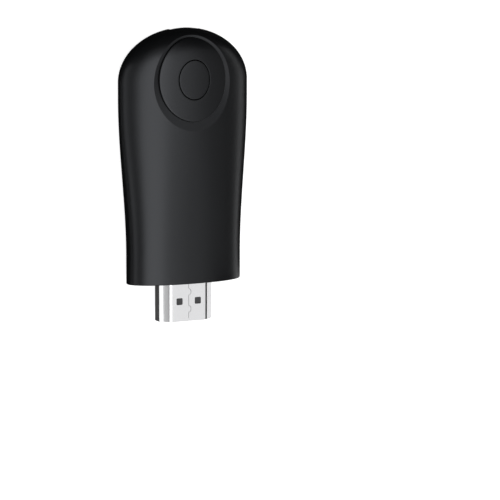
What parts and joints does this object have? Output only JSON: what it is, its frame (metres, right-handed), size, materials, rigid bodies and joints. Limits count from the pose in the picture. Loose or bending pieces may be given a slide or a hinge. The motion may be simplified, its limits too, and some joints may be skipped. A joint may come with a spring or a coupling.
{
  "type": "wifi display dongle",
  "caption": "Flared matte black wireless display stick with a video plug at one end, a power socket in the round head and an oval push button in a dished plate.",
  "frame": {"origin": "on the resting plane under the middle of the part's bounding box", "axes": "+Z out of the front face with the button, +Y towards the round head with the power socket, -Y along the video plug, X across the width"},
  "size_m": [0.0334, 0.0696, 0.0115],
  "materials": {
    "housing_plastic": "soft matte black moulded plastic",
    "plate_plastic": "soft matte black moulded plastic",
    "button_plastic": "soft matte black moulded plastic",
    "tape": "cream double-sided tape",
    "switch_plastic": "black moulded plastic",
    "tin_plate": "tin-plated sheet steel",
    "board_laminate": "green solder mask over laminate",
    "plug_nickel": "bright nickel-plated sheet metal",
    "connector_black": "black moulded insulator",
    "contact_gold": "gold-plated contacts",
    "socket_steel": "nickel-plated sheet steel",
    "chip_epoxy": "black moulding compound",
    "thermal_pad": "blue-grey silicone pad",
    "spreader_aluminium": "milled aluminium",
    "module_laminate": "blue solder mask over laminate",
    "ceramic": "white ceramic",
    "ferrite": "dark grey ferrite",
    "capacitor_ceramic": "tan ceramic",
    "screw_steel": "zinc-plated steel"
  },
  "bodies": {
    "housing": {"front_shell": "housing_plastic", "rear_shell": "housing_plastic", "face_plate": "plate_plastic", "plate_tape": "tape", "switch_body": "switch_plastic", "switch_cover": "tin_plate", "circuit_board": "board_laminate", "plug_shell": "plug_nickel", "plug_insulator": "connector_black", "plug_upper_contacts": "contact_gold", "plug_lower_contacts": "contact_gold", "jack_shell": "socket_steel", "jack_insulator": "connector_black", "jack_contacts": "contact_gold", "main_processor": "chip_epoxy", "memory_chip": "chip_epoxy", "flash_chip": "chip_epoxy", "thermal_pad": "thermal_pad", "heat_spreader": "spreader_aluminium", "wifi_module": "module_laminate", "wifi_shield": "tin_plate", "chip_antenna": "ceramic", "crystals": "tin_plate", "power_inductors": "ferrite", "voltage_regulators": "chip_epoxy", "large_capacitors": "capacitor_ceramic", "small_capacitors": "capacitor_ceramic", "small_resistors": "ferrite", "board_screws": "screw_steel"},
    "button": {"button": "button_plastic", "switch_plunger": "switch_plastic"}
  },
  "joints": [
    {"name": "button_press", "type": "slide", "parent": "housing", "child": "button", "axis": [0, 0, -1], "range_m": [0, 0.0003], "stiffness_N_per_m": 4000}
  ]
}
